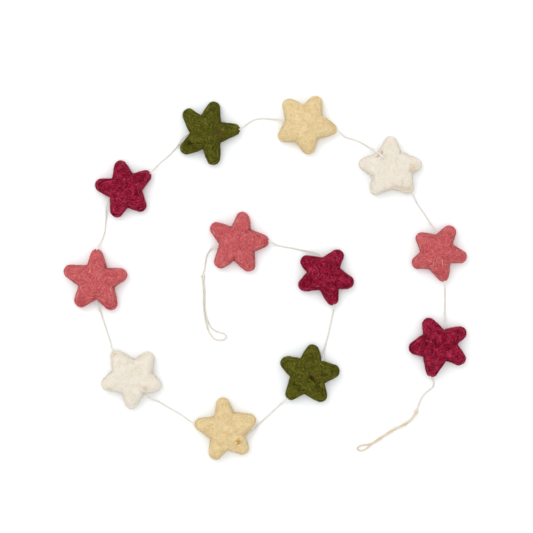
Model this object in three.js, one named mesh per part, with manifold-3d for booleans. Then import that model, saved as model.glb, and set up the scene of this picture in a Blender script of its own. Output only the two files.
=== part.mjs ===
// Felt star garland: twelve stars felted from wool in five colours, threaded on one cotton string.
// It lies in a loose spiral on a flat surface. Sizes are millimetres with +Z up, the surface is
// z = 0, and the origin is the middle of the stars' footprint.
import * as THREE from "three";
import { mergeVertices } from "three/addons/utils/BufferGeometryUtils.js";
import Module from "manifold-3d";

const wasm = await Module();
wasm.setup();

// Stars: round arm ends, the strung arm's a little narrower, and a cushion-like cross section
const TIP_RADIUS = 7.5;
const STRUNG_TIP_RADIUS = 6.8;
const TIP_SWEEP = 140;
const OUTLINE_DIVISIONS = 3;
const RIM_HEIGHT = 5.6;
const ARM_TOP = 12.6;
const CROWN_TOP = 16.4;
const CROWN_RADIUS = 24;
const TOP_ROUNDING = 8;
// Rings of the cushion's mesh, as shares of the way from the centre to the rim
const TOP_RINGS = [0.52, 0.8, 0.94];
const FLAT_RING = 0.85;

// String: one length of cotton, doubled back and knotted into a loop at each end
const STRING_RADIUS = 0.8;
const STRING_SIDES = 8;
const STRING_CLEARANCE = 0.38;
const LAID_HEIGHT = 0.85;
const THREADING_HEIGHT = 7;
const OVER_EDGE = [
  { inset: 1, height: 11 },
  { inset: 6, height: 14.6 },
  { inset: 12, height: 14.4 },
];
const KNOT_RADIUS = 2.2;
const PAIR_SPACING = 2.1;

const FELTS = {
  rose: { color: "#bf5a62", roughness: 0.95 },
  berry: { color: "#8c1c3c", roughness: 0.95 },
  olive: { color: "#585c18", roughness: 0.95 },
  butter: { color: "#dfc995", roughness: 0.95 },
  cream: { color: "#ece4d4", roughness: 0.95 },
};
const STRING_FINISH = { color: "#efe6d8", roughness: 0.85 };

// One row a star, in the order of threading. Directions are degrees anticlockwise from +X, and
// reaches and depths are distances from the centre to the tips and to the notches between arms.
// The string leaves through the first arm and comes in at the third notch, after lying on the
// surface along the lead's points. At star_10 it crosses over the felt's edge before it dives in.
const STARS = [
  {
    name: "star_01", felt: "rose", centre: [-32.4, 41.8],
    arms: [359, 74.5, 149, 233, 296.5], reaches: [36.5, 33, 33.5, 37, 38],
    notches: [38.5, 109.5, 191, 262, 328], depths: [21, 17.5, 20.5, 23, 23.5],
    lead: [[-68.3, 13.5], [-66.8, 24], [-63, 30.8]],
  },
  {
    name: "star_02", felt: "berry", centre: [67.9, 2.6],
    arms: [286.5, 343.5, 58.5, 143.5, 204], reaches: [34.5, 33, 33, 33, 32.5],
    notches: [314.5, 26.5, 98.5, 171, 248.5], depths: [22, 18.5, 21, 21.5, 18.5],
    lead: [[13, 36.9], [41, 31.3]],
  },
  {
    name: "star_03", felt: "olive", centre: [47.1, -108.8],
    arms: [232, 302.5, 6.5, 76.5, 151], reaches: [35, 36, 37, 34, 33],
    notches: [262, 331.5, 42.5, 112, 189.5], depths: [23, 22.5, 22.5, 20, 20],
    lead: [[77, -38.6], [66.9, -82]],
  },
  {
    name: "star_04", felt: "butter", centre: [-45.7, -170.6],
    arms: [170, 249, 312, 17.5, 94], reaches: [34.5, 36.5, 36.5, 36.5, 35],
    notches: [214, 278, 341, 62.5, 129], depths: [20.5, 24.5, 24.5, 21.5, 19.5],
    lead: [[17.5, -143.3], [-5, -164]],
  },
  {
    name: "star_05", felt: "cream", centre: [-150.9, -112.1],
    arms: [126, 196, 270, 340, 49], reaches: [35.5, 35.5, 36, 35.5, 35],
    notches: [162, 238, 306, 10, 81], depths: [23.5, 22, 23.5, 24, 21],
    lead: [[-95.3, -155.3], [-118.7, -141.7]],
  },
  {
    name: "star_06", felt: "rose", centre: [-191.1, -1.1],
    arms: [88.5, 164.5, 235.5, 300.5, 8.5], reaches: [33, 37.5, 37.5, 40, 35],
    notches: [125, 201, 271.5, 334, 44.5], depths: [19, 22, 23.5, 23, 18],
    lead: [[-176.4, -70], [-185.4, -42.6]],
  },
  {
    name: "star_07", felt: "berry", centre: [-158.9, 101.1],
    arms: [30.5, 100.5, 173, 250.5, 312], reaches: [33.5, 31.5, 33.5, 34, 33],
    notches: [60, 141.5, 213, 279.5, 352], depths: [19.5, 19, 20, 23, 20.5],
    lead: [[-185.1, 42.6], [-181.8, 52.4], [-180.6, 65.5]],
  },
  {
    name: "star_08", felt: "olive", centre: [-64.7, 165.8],
    arms: [3, 76.5, 140.5, 218.5, 281], reaches: [36, 33.5, 35, 38, 39],
    notches: [34.5, 114, 186.5, 254, 317.5], depths: [18.5, 20, 21, 22, 19.5],
    lead: [[-121.4, 128.2], [-109.9, 138], [-101.5, 147]],
  },
  {
    name: "star_09", felt: "butter", centre: [43.9, 173.9],
    arms: [348.5, 61.5, 129, 211, 280], reaches: [37.5, 34.5, 34, 33, 34.5],
    notches: [23.5, 93, 170.5, 245, 312], depths: [23, 22, 22, 23, 23.5],
    lead: [[-19.3, 175.1], [-8.5, 180], [7, 179.8]],
  },
  {
    name: "star_10", felt: "cream", overEdge: true, centre: [143.2, 125.5],
    arms: [307, 4, 93, 175, 234.5], reaches: [36.5, 33.5, 34, 37, 37.5],
    notches: [342, 60, 136, 208, 270], depths: [24, 20.5, 23, 25, 25.5],
    lead: [[91.3, 159.1], [104.8, 155], [117.6, 147.7]],
  },
  {
    name: "star_11", felt: "rose", centre: [194, 28.7],
    arms: [284.5, 349, 59.5, 137.5, 208.5], reaches: [33.5, 34, 34, 30, 31],
    notches: [321, 25, 93.5, 179, 246], depths: [20, 20.5, 20.5, 19.5, 21.5],
    lead: [[171, 86], [185, 65]],
  },
  {
    name: "star_12", felt: "berry", centre: [196.8, -77],
    arms: [253, 327, 32.5, 117, 185.5], reaches: [36, 33.5, 34.5, 34.5, 34.5],
    notches: [293.5, 6.5, 74.5, 144, 214.5], depths: [19, 21, 20, 23, 22.5],
    lead: [[203.5, -17], [203.5, -40]],
  },
];
const INLET_NOTCH = 2;

// After the last star the string lies along the tail to the outer knot.
const TAIL = [[190.6, -117], [190.5, -123], [185.2, -128], [179.8, -132.5], [174.9, -141.2]];

// Beyond each knot the string runs doubled along the pair, and opens into the eye of the loop.
const INNER_LOOP = {
  knot: [-70.7, 0.6],
  pair: [[-69.3, -16], [-68.7, -38]],
  eye: [
    [-61.4, -56.4], [-53, -61.7], [-46.4, -63.6], [-43.9, -67.1],
    [-47.3, -70.6], [-57.2, -69.6], [-64.4, -60],
  ],
};
const OUTER_LOOP = {
  knot: [170.9, -152.3],
  pair: [[163.5, -162.6], [144.3, -172.9], [124, -186.2]],
  eye: [[115.4, -193.5], [108.3, -196.4], [103.9, -193.6], [108, -190.3], [116.6, -189]],
};

const radians = THREE.MathUtils.degToRad;

function polar(distance, degrees) {
  const angle = radians(degrees);
  return new THREE.Vector2(distance * Math.cos(angle), distance * Math.sin(angle));
}

// Each arm ends in an arc, and two straight sides that meet in the notch lead to the next arm.
// A corner halfway along each side lets the felt's top bulge there.
function starOutline(star) {
  const arms = star.arms.map((direction, i) => {
    const radius = i === 0 ? STRUNG_TIP_RADIUS : TIP_RADIUS;
    const centre = polar(star.reaches[i] - radius, direction);
    const from = direction - TIP_SWEEP / 2;
    const to = direction + TIP_SWEEP / 2;
    const start = polar(radius, from).add(centre);
    const end = polar(radius, to).add(centre);
    return { radius, centre, from, to, start, end };
  });
  const shape = new THREE.Shape();
  shape.moveTo(arms[0].start.x, arms[0].start.y);
  arms.forEach(({ radius, centre, from, to, end }, i) => {
    shape.absarc(centre.x, centre.y, radius, radians(from), radians(to), false);
    const next = arms[(i + 1) % arms.length].start;
    const notch = polar(star.depths[i], star.notches[i]);
    const corners = [end.clone().lerp(notch, 0.5), notch, next.clone().lerp(notch, 0.5), next];
    corners.forEach((corner) => shape.lineTo(corner.x, corner.y));
  });
  const points = shape.getPoints(OUTLINE_DIVISIONS);
  points.pop();
  return points;
}

function distanceToOutline(point, outline) {
  const nearest = new THREE.Vector3();
  const place = new THREE.Vector3(point.x, point.y, 0);
  const distances = outline.map((from, i) => {
    const to = outline[(i + 1) % outline.length];
    const side = new THREE.Line3(new THREE.Vector3(from.x, from.y, 0), new THREE.Vector3(to.x, to.y, 0));
    return side.closestPointToPoint(place, true, nearest).distanceTo(place);
  });
  return Math.min(...distances);
}

// A quarter ellipse: 0 at the rim, 1 from the given inset inwards
function roundedRise(inset, rounding) {
  const rest = 1 - Math.min(inset / rounding, 1);
  return Math.sqrt(1 - rest * rest);
}

function topHeight(point, outline) {
  const crown = Math.max(0, 1 - (point.length() / CROWN_RADIUS) ** 2) * (CROWN_TOP - ARM_TOP);
  const rise = roundedRise(distanceToOutline(point, outline), TOP_ROUNDING);
  return RIM_HEIGHT + (ARM_TOP - RIM_HEIGHT + crown) * rise;
}

// The felt cushion: rings shrink from the rim to a domed top and to a flat underside.
function cushionGeometry(outline) {
  const ring = (share, height) => outline.map((corner) => {
    const point = corner.clone().multiplyScalar(share);
    return [point.x, point.y, height(point)];
  });
  const rings = [
    ...TOP_RINGS.map((share) => ring(share, (point) => topHeight(point, outline))),
    ring(1, () => RIM_HEIGHT),
    ring(FLAT_RING, () => 0),
  ];
  const count = outline.length;
  const topCentre = rings.length * count;
  const undersideCentre = topCentre + 1;
  const lastRing = (rings.length - 1) * count;
  const faces = [];
  for (let i = 0; i < count; i += 1) {
    const next = (i + 1) % count;
    faces.push(topCentre, i, next);
    for (let start = 0; start < lastRing; start += count) {
      faces.push(start + i, start + count + i, start + count + next);
      faces.push(start + i, start + count + next, start + next);
    }
    faces.push(undersideCentre, lastRing + next, lastRing + i);
  }
  const middle = new THREE.Vector2(0, 0);
  const places = [...rings.flat(2), 0, 0, topHeight(middle, outline), 0, 0, 0];
  const geometry = new THREE.BufferGeometry();
  geometry.setAttribute("position", new THREE.Float32BufferAttribute(places, 3));
  geometry.setIndex(faces);
  return geometry;
}

// A smooth curve whose stations along a tube are its own points
class StationCurve extends THREE.CatmullRomCurve3 {
  getPointAt(share, target) {
    return this.getPoint(share, target);
  }

  getTangentAt(share, target) {
    return this.getTangent(share, target);
  }
}

function tubeGeometry(points, radius) {
  const corners = [];
  for (let side = 0; side < STRING_SIDES; side += 1) {
    corners.push(polar(radius, (side * 360) / STRING_SIDES));
  }
  const extrudePath = new StationCurve(points);
  return new THREE.ExtrudeGeometry(new THREE.Shape(corners), { steps: points.length - 1, extrudePath });
}

function solidOf(geometry) {
  const bare = geometry.clone();
  bare.deleteAttribute("normal");
  bare.deleteAttribute("uv");
  const merged = mergeVertices(bare);
  const vertProperties = new Float32Array(merged.attributes.position.array);
  const triVerts = new Uint32Array(merged.index.array);
  return new wasm.Manifold(new wasm.Mesh({ numProp: 3, vertProperties, triVerts }));
}

function geometryOf(solid) {
  const mesh = solid.getMesh();
  const geometry = new THREE.BufferGeometry();
  geometry.setAttribute("position", new THREE.BufferAttribute(mesh.vertProperties, 3));
  geometry.setIndex(new THREE.BufferAttribute(mesh.triVerts, 1));
  geometry.computeVertexNormals();
  return geometry;
}

const laid = ([x, y]) => new THREE.Vector3(x, y, LAID_HEIGHT);
const knotCentre = (loop) => new THREE.Vector3(...loop.knot, KNOT_RADIUS);

// The string goes in at a notch, through the felt, and out at the tip of the first arm.
function threadedPoints(star) {
  const centre = new THREE.Vector2(...star.centre);
  const through = (distance, direction, height) => {
    const place = polar(distance, direction).add(centre);
    return new THREE.Vector3(place.x, place.y, height);
  };
  const depth = star.depths[INLET_NOTCH];
  const inlet = star.notches[INLET_NOTCH];
  const outlet = through(star.reaches[0], star.arms[0], THREADING_HEIGHT);
  if (!star.overEdge) {
    return [through(depth, inlet, THREADING_HEIGHT), outlet];
  }
  const over = OVER_EDGE.map(({ inset, height }) => through(depth - inset, inlet, height));
  return [...over, outlet];
}

function routePoints() {
  const stars = STARS.flatMap((star) => [...star.lead.map(laid), ...threadedPoints(star)]);
  return [knotCentre(INNER_LOOP), ...stars, ...TAIL.map(laid), knotCentre(OUTER_LOOP)];
}

// Out from the knot on one side of the pair, round the eye, and back on the other side
function loopPoints(loop) {
  const line = [loop.knot, ...loop.pair, loop.eye[0]].map(([x, y]) => new THREE.Vector2(x, y));
  const strand = (sign) => loop.pair.map((_, i) => {
    const along = line[i + 2].clone().sub(line[i]).normalize();
    const aside = new THREE.Vector2(-along.y, along.x).multiplyScalar((sign * PAIR_SPACING) / 2);
    return line[i + 1].clone().add(aside).toArray();
  });
  const round = [...strand(1), ...loop.eye, ...strand(-1).reverse()];
  return [knotCentre(loop), ...round.map(laid), knotCentre(loop)];
}

function stringSolid() {
  const main = solidOf(tubeGeometry(routePoints(), STRING_RADIUS));
  return [INNER_LOOP, OUTER_LOOP].reduce((string, loop) => {
    const knot = new THREE.IcosahedronGeometry(KNOT_RADIUS, 1).translate(...knotCentre(loop));
    return string.add(solidOf(tubeGeometry(loopPoints(loop), STRING_RADIUS))).add(solidOf(knot));
  }, main);
}

function starMesh(star, channel) {
  const [x, y] = star.centre;
  const cushion = solidOf(cushionGeometry(starOutline(star)));
  const threaded = cushion.subtract(channel.translate([-x, -y, 0]));
  const felt = new THREE.MeshStandardMaterial(FELTS[star.felt]);
  const mesh = new THREE.Mesh(geometryOf(threaded), felt);
  mesh.name = star.name;
  mesh.position.set(x, y, 0);
  return mesh;
}

function stringMesh() {
  const cotton = new THREE.MeshStandardMaterial(STRING_FINISH);
  const mesh = new THREE.Mesh(geometryOf(stringSolid()), cotton);
  mesh.name = "string";
  return mesh;
}

const channel = solidOf(tubeGeometry(routePoints(), STRING_RADIUS + STRING_CLEARANCE));
const garland = new THREE.Group();
STARS.forEach((star) => garland.add(starMesh(star, channel)));
garland.add(stringMesh());

export default garland;
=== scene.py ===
import math

import bpy
import numpy as np
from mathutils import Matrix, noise
from mathutils.bvhtree import BVHTree


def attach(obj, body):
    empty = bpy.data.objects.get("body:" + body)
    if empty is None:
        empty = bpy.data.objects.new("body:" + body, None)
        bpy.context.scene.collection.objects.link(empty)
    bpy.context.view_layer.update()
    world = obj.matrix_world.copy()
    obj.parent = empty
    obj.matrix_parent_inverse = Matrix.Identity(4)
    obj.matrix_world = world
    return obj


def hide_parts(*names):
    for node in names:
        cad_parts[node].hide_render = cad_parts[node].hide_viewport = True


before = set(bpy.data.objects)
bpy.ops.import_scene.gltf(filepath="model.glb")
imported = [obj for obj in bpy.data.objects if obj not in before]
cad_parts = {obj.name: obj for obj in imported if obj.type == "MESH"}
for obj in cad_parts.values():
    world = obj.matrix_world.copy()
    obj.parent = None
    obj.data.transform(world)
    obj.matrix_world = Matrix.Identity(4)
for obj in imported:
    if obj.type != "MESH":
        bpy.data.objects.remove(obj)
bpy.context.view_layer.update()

MM = 0.001

# The camera looks straight down and sees 602.3 mm across at the height of the stars' widest line.
VIEW_WIDTH = 0.6023
VIEW_CENTRE = (0.00138, 0.01265)
VIEW_HEIGHT = 0.0056
LENS_MM = 100
SENSOR_MM = 36


def make_camera():
    camera = bpy.data.objects.new("camera", bpy.data.cameras.new("camera"))
    camera.data.lens = LENS_MM
    camera.data.sensor_width = SENSOR_MM
    camera.data.clip_end = 20
    distance = VIEW_WIDTH * LENS_MM / SENSOR_MM
    camera.location = (*VIEW_CENTRE, VIEW_HEIGHT + distance)
    bpy.context.scene.collection.objects.link(camera)
    bpy.context.scene.camera = camera


make_camera()

# The string's route, in metres, as in part.mjs. One row a star: the points on the surface before
# it, the notch where the string goes in and the tip where it comes out, both as a distance and a
# direction from the centre.
LAID = 0.85 * MM
THREADED = 7 * MM
KNOT_HEIGHT = 2.2 * MM
STRING_RADIUS = 0.8 * MM
STARS = [
    {"name": "star_01", "felt": "rose", "centre": (-0.0324, 0.0418), "inlet": (0.0205, 191),
     "outlet": (0.0365, 359), "lead": [(-0.0683, 0.0135), (-0.0668, 0.024), (-0.063, 0.0308)]},
    {"name": "star_02", "felt": "berry", "centre": (0.0679, 0.0026), "inlet": (0.021, 98.5),
     "outlet": (0.0345, 286.5), "lead": [(0.013, 0.0369), (0.041, 0.0313)]},
    {"name": "star_03", "felt": "olive", "centre": (0.0471, -0.1088), "inlet": (0.0225, 42.5),
     "outlet": (0.035, 232), "lead": [(0.077, -0.0386), (0.0669, -0.082)]},
    {"name": "star_04", "felt": "butter", "centre": (-0.0457, -0.1706), "inlet": (0.0245, 341),
     "outlet": (0.0345, 170), "lead": [(0.0175, -0.1433), (-0.005, -0.164)]},
    {"name": "star_05", "felt": "cream", "centre": (-0.1509, -0.1121), "inlet": (0.0235, 306),
     "outlet": (0.0355, 126), "lead": [(-0.0953, -0.1553), (-0.1187, -0.1417)]},
    {"name": "star_06", "felt": "rose", "centre": (-0.1911, -0.0011), "inlet": (0.0235, 271.5),
     "outlet": (0.033, 88.5), "lead": [(-0.1764, -0.07), (-0.1854, -0.0426)]},
    {"name": "star_07", "felt": "berry", "centre": (-0.1589, 0.1011), "inlet": (0.02, 213),
     "outlet": (0.0335, 30.5), "lead": [(-0.1851, 0.0426), (-0.1818, 0.0524), (-0.1806, 0.0655)]},
    {"name": "star_08", "felt": "olive", "centre": (-0.0647, 0.1658), "inlet": (0.021, 186.5),
     "outlet": (0.036, 3), "lead": [(-0.1214, 0.1282), (-0.1099, 0.138), (-0.1015, 0.147)]},
    {"name": "star_09", "felt": "butter", "centre": (0.0439, 0.1739), "inlet": (0.022, 170.5),
     "outlet": (0.0375, 348.5), "lead": [(-0.0193, 0.1751), (-0.0085, 0.18), (0.007, 0.1798)]},
    {"name": "star_10", "felt": "cream", "centre": (0.1432, 0.1255), "inlet": (0.023, 136),
     "outlet": (0.0365, 307), "lead": [(0.0913, 0.1591), (0.1048, 0.155), (0.1176, 0.1477)]},
    {"name": "star_11", "felt": "rose", "centre": (0.194, 0.0287), "inlet": (0.0205, 93.5),
     "outlet": (0.0335, 284.5), "lead": [(0.171, 0.086), (0.185, 0.065)]},
    {"name": "star_12", "felt": "berry", "centre": (0.1968, -0.077), "inlet": (0.02, 74.5),
     "outlet": (0.036, 253), "lead": [(0.2035, -0.017), (0.2035, -0.04)]},
]
# At one star the string first crosses over the felt's edge: how far in from the notch, how high
OVER_EDGE = {"star_10": [(0.001, 0.011), (0.006, 0.0146), (0.012, 0.0144)]}
TAIL = [(0.1906, -0.117), (0.1905, -0.123), (0.1852, -0.128), (0.1798, -0.1325), (0.1749, -0.1412)]
INNER_LOOP = {
    "knot": (-0.0707, 0.0006),
    "pair": [(-0.0693, -0.016), (-0.0687, -0.038)],
    "eye": [(-0.0614, -0.0564), (-0.053, -0.0617), (-0.0464, -0.0636), (-0.0439, -0.0671),
            (-0.0473, -0.0706), (-0.0572, -0.0696), (-0.0644, -0.06)],
}
OUTER_LOOP = {
    "knot": (0.1709, -0.1523),
    "pair": [(0.1635, -0.1626), (0.1443, -0.1729), (0.124, -0.1862)],
    "eye": [(0.1154, -0.1935), (0.1083, -0.1964), (0.1039, -0.1936), (0.108, -0.1903),
            (0.1166, -0.189)],
}
# The two strands of a pair touch.
PAIR_SPACING = 1.65 * MM
ROUTE_STEP = 0.5 * MM


def unit(vectors):
    return vectors / np.maximum(np.linalg.norm(vectors, axis=-1, keepdims=True), 1e-12)


def spline(points, spacing):
    """Points about `spacing` apart on a smooth curve through the given ones."""
    given = np.array(points, float)
    ends = [2 * given[0] - given[1]], [2 * given[-1] - given[-2]]
    given = np.concatenate([ends[0], given, ends[1]])
    knots = np.sqrt(np.linalg.norm(np.diff(given, axis=0), axis=1))
    made = []
    for i in range(1, len(given) - 2):
        before, here, there, after = given[i - 1:i + 3]
        d0, d1, d2 = knots[i - 1:i + 2]
        slope_here = ((here - before) / d0 - (there - before) / (d0 + d1) + (there - here) / d1) * d1
        slope_there = ((there - here) / d1 - (after - here) / (d1 + d2) + (after - there) / d2) * d1
        count = max(2, round(np.linalg.norm(there - here) / spacing))
        t = np.arange(count)[:, None] / count
        made.append((2 * t**3 - 3 * t**2 + 1) * here + (t**3 - 2 * t**2 + t) * slope_here
                    + (3 * t**2 - 2 * t**3) * there + (t**3 - t**2) * slope_there)
    made.append(given[-2:-1])
    return np.concatenate(made)


def even(points, spacing, keep=0.0):
    """The same line with its points evenly spaced, and no lower than `keep`."""
    along = np.r_[0, np.cumsum(np.linalg.norm(np.diff(points, axis=0), axis=1))]
    wanted = np.linspace(0, along[-1], round(along[-1] / spacing) + 1)
    line = np.stack([np.interp(wanted, along, points[:, axis]) for axis in range(3)], axis=1)
    line[:, 2] = np.maximum(line[:, 2], keep)
    return line


def polar(centre, distance, degrees, height):
    angle = math.radians(degrees)
    return (centre[0] + distance * math.cos(angle), centre[1] + distance * math.sin(angle), height)


def threaded_points(star):
    depth, direction = star["inlet"]
    over = OVER_EDGE.get(star["name"], [(0, THREADED)])
    inward = [polar(star["centre"], depth - inset, direction, height) for inset, height in over]
    return inward + [polar(star["centre"], *star["outlet"], THREADED)]


# The outer loop's two strands also wind round each other, one and a half times. They lie side by
# side at this share of the way from the knot, and half a turn before.
PAIR_TWIST = 3 * math.pi
SIDE_BY_SIDE = 0.87
TWIST_RADIUS = 0.82 * MM
TWIST_STEP = 4 * MM


def twisted_strands(loop):
    """The two strands of a twisted pair, both from the knot to the eye."""
    flat = np.array([(x, y, 0) for x, y in (loop["knot"], *loop["pair"])])
    line = spline(flat, TWIST_STEP)[2:]
    along = unit(np.gradient(line, axis=0))
    aside = np.stack([-along[:, 1], along[:, 0], np.zeros(len(line))], axis=1)
    angle = math.pi + PAIR_TWIST * (np.linspace(0, 1, len(line)) - SIDE_BY_SIDE)
    away = TWIST_RADIUS * (np.cos(angle)[:, None] * aside + np.sin(angle)[:, None] * (0, 0, 1))
    middle = line + np.array([0, 0, LAID + TWIST_RADIUS])
    return middle + away, middle - away


def loop_points(loop):
    """Out from the knot on one side of the pair, round the eye, and back on the other side."""
    if loop is OUTER_LOOP:
        out, back = twisted_strands(loop)
        return [*out, *[(x, y, LAID) for x, y in loop["eye"]], *back[::-1]]
    line = np.array([loop["knot"], *loop["pair"], loop["eye"][0]])
    along = line[2:] - line[:-2]
    along /= np.linalg.norm(along, axis=1)[:, None]
    aside = np.stack([-along[:, 1], along[:, 0]], axis=1) * PAIR_SPACING / 2
    out, back = line[1:-1] + aside, (line[1:-1] - aside)[::-1]
    return [(x, y, LAID) for x, y in [*out, *loop["eye"], *back]]


def route_points():
    start, end = (*INNER_LOOP["knot"], KNOT_HEIGHT), (*OUTER_LOOP["knot"], KNOT_HEIGHT)
    points = [start, *loop_points(INNER_LOOP), start]
    for star in STARS:
        points += [(x, y, LAID) for x, y in star["lead"]] + threaded_points(star)
    points += [(x, y, LAID) for x, y in TAIL]
    return points + [end, *loop_points(OUTER_LOOP), end]


def object_from(name, vertices, faces, material_index=None, smooth=True):
    mesh = bpy.data.meshes.new(name)
    mesh.vertices.add(len(vertices))
    mesh.vertices.foreach_set("co", np.asarray(vertices, np.float32).ravel())
    corners = faces.shape[1]
    mesh.loops.add(faces.size)
    mesh.loops.foreach_set("vertex_index", faces.astype(np.int32).ravel())
    mesh.polygons.add(len(faces))
    mesh.polygons.foreach_set("loop_start", np.arange(0, faces.size, corners, dtype=np.int32))
    if material_index is not None:
        mesh.polygons.foreach_set("material_index", material_index.astype(np.int32))
    mesh.update(calc_edges=True)
    mesh.polygons.foreach_set("use_smooth", np.full(len(faces), smooth))
    made = bpy.data.objects.new(name, mesh)
    bpy.context.scene.collection.objects.link(made)
    return made


def float_attribute(piece, name, values):
    layer = piece.data.attributes.new(name, "FLOAT", "POINT")
    layer.data.foreach_set("value", np.asarray(values, np.float32))


def frames_along(line):
    """Two directions across the line at each of its points, turning no more than they must."""
    along = unit(np.gradient(line, axis=0))
    side = np.zeros_like(along)
    side[0] = unit(np.cross(along[0], (0, 0, 1)))
    for i in range(1, len(line)):
        carried = side[i - 1] - along[i] * (side[i - 1] @ along[i])
        side[i] = unit(carried)
    return side, np.cross(along, side)


# The string is three plies twisted together.
PLIES = 3
PLY_RADIUS = 0.47 * MM
PLY_OFFSET = 0.42 * MM
PLY_SIDES = 5
PLY_TURN = 5.2 * MM
STRING_STEP = 0.7 * MM


def plied_mesh(line):
    side, up = frames_along(line)
    run = np.arange(len(line)) * np.linalg.norm(line[1] - line[0])
    vertices, faces = [], []
    for ply in range(PLIES):
        angle = 2 * math.pi * (run / PLY_TURN + ply / PLIES)
        out = np.cos(angle)[:, None] * side + np.sin(angle)[:, None] * up
        turn = np.cos(angle)[:, None] * up - np.sin(angle)[:, None] * side
        around = np.arange(PLY_SIDES) * 2 * math.pi / PLY_SIDES
        ring = (np.cos(around)[None, :, None] * out[:, None] + np.sin(around)[None, :, None] * turn[:, None])
        tube = (line + out * PLY_OFFSET)[:, None] + ring * PLY_RADIUS
        start = len(line) * PLY_SIDES * ply
        index = start + np.arange(len(line) * PLY_SIDES).reshape(len(line), PLY_SIDES)
        ahead = np.roll(index, -1, axis=1)
        faces.append(np.stack([index[:-1], ahead[:-1], ahead[1:], index[1:]], axis=-1).reshape(-1, 4))
        vertices.append(tube.reshape(-1, 3))
    return np.concatenate(vertices), np.concatenate(faces)


string_line = even(spline(route_points(), ROUTE_STEP), STRING_STEP, keep=LAID)

# The loops are yellower than the rest, the outer one the most, and this fades out past their
# knots. Where the string crosses over a star's edge it is painted whiter: a painted highlight for
# the full light it lies in on top of the felt.
INNER_AGE, OUTER_AGE = 0.25, 1.0
AGED_TAIL = 30 * MM
HIGHLIGHT_LENGTH = 9 * MM


def age_and_highlight_along(line):
    """How yellow the cotton is at each point, from 0 to 1, or below 0 where a painted highlight makes it
    whiter.
    """
    run = np.linspace(0, np.linalg.norm(np.diff(line, axis=0), axis=1).sum(), len(line))
    inner = even(spline(loop_points(INNER_LOOP), ROUTE_STEP), STRING_STEP)
    outer = even(spline(loop_points(OUTER_LOOP), ROUTE_STEP), STRING_STEP)
    inner_end, outer_start = len(inner) * STRING_STEP, run[-1] - len(outer) * STRING_STEP
    inner_age = INNER_AGE * (1 - np.clip((run - inner_end) / AGED_TAIL, 0, 1))
    outer_age = OUTER_AGE * np.clip((run - outer_start) / AGED_TAIL + 1, 0, 1)
    age = np.maximum(inner_age, outer_age)
    # Painted highlight: below 0 near where the string crosses a star's edge, so it shows whiter there.
    for star in STARS:
        if star["name"] in OVER_EDGE:
            away = np.linalg.norm(line - threaded_points(star)[1], axis=1)
            age -= np.exp(-(away / HIGHLIGHT_LENGTH)**2)
    return age


string_age_and_highlight = age_and_highlight_along(string_line)
string = object_from("string_plies", *plied_mesh(string_line))
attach(string, "root")
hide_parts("string")
float_attribute(string, "age", np.tile(np.repeat(string_age_and_highlight, PLY_SIDES), PLIES))

KNOT_SCALE = 0.66 * MM
KNOT_THICKNESS = 1.1
KNOT_POINTS = 90


def knot_line(loop):
    """A tight overhand knot, which is a trefoil pulled small."""
    turn = np.linspace(0, 2 * math.pi, KNOT_POINTS)
    x = np.sin(turn) + 2 * np.sin(2 * turn)
    y = np.cos(turn) - 2 * np.cos(2 * turn)
    z = -KNOT_THICKNESS * np.sin(3 * turn)
    line = np.stack([x, y, z], axis=1) * KNOT_SCALE
    line += (*loop["knot"], KNOT_HEIGHT)
    return line


knots = []
for name, loop, age in (("knot_inner", INNER_LOOP, INNER_AGE), ("knot_outer", OUTER_LOOP, OUTER_AGE)):
    knot = object_from(name, *plied_mesh(knot_line(loop)))
    float_attribute(knot, "age", np.full(len(knot.data.vertices), age))
    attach(knot, "root")
    knots.append(knot)


# A fibre is as wide along its length as this stretch of a half wave is high.
TAPER = (0.12, 0.96)


def ribbons(path, across, width):
    """Flat fibres, each a row of points of `path`, narrow at both ends."""
    count, steps = path.shape[:2]
    taper = np.sin(np.linspace(*TAPER, steps) * math.pi)[None, :, None]
    half = across * (width[:, None, None] * taper / 2)
    vertices = np.stack([path - half, path + half], axis=2).reshape(-1, 3)
    index = np.arange(count * steps * 2).reshape(count, steps, 2)
    quads = np.stack([index[:, :-1, 0], index[:, :-1, 1], index[:, 1:, 1], index[:, 1:, 0]], axis=-1)
    return vertices, quads.reshape(-1, 4)


STRING_HAIRS = 5500
HAIR_STEPS = 4
HAIR_LENGTH = (0.8 * MM, 2.2 * MM)
HAIR_WIDTH = (0.05 * MM, 0.1 * MM)
HAIR_ROOT = 0.7 * STRING_RADIUS
# Cotton that is older than this has yellowed hairs.
YELLOWED = 0.5
# Neither the string's hairs nor the stars' fuzz dip below this height.
OFF_FLOOR = 0.1 * MM


def string_hairs(line, age, random):
    """Loose cotton hairs that lean away from the string, and whether each face is yellowed."""
    side, up = frames_along(line)
    along = unit(np.gradient(line, axis=0))
    at = random.integers(0, len(line), STRING_HAIRS)
    angle = random.uniform(0, 2 * math.pi, STRING_HAIRS)
    out = np.cos(angle)[:, None] * side[at] + np.sin(angle)[:, None] * up[at]
    lean = along[at] * random.choice([-1, 1], STRING_HAIRS)[:, None]
    length = random.uniform(*HAIR_LENGTH, STRING_HAIRS)
    share = np.linspace(0, 1, HAIR_STEPS)[None, :, None]
    way = lean[:, None] * (share * 0.85) + out[:, None] * (share * (1.3 - share)) * 0.9
    path = line[at][:, None] + out[:, None] * HAIR_ROOT + way * length[:, None, None]
    path[:, :, 2] = np.maximum(path[:, :, 2], OFF_FLOOR)
    across = unit(np.cross(way[:, -1], random.normal(size=(STRING_HAIRS, 3))))[:, None]
    vertices, faces = ribbons(path, across, random.uniform(*HAIR_WIDTH, STRING_HAIRS))
    return vertices, faces, np.repeat(age[at] > YELLOWED, HAIR_STEPS - 1)


hair_parts = string_hairs(string_line, string_age_and_highlight, np.random.default_rng(40))
hairs = object_from("string_hairs", *hair_parts, smooth=False)
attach(hairs, "root")

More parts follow.
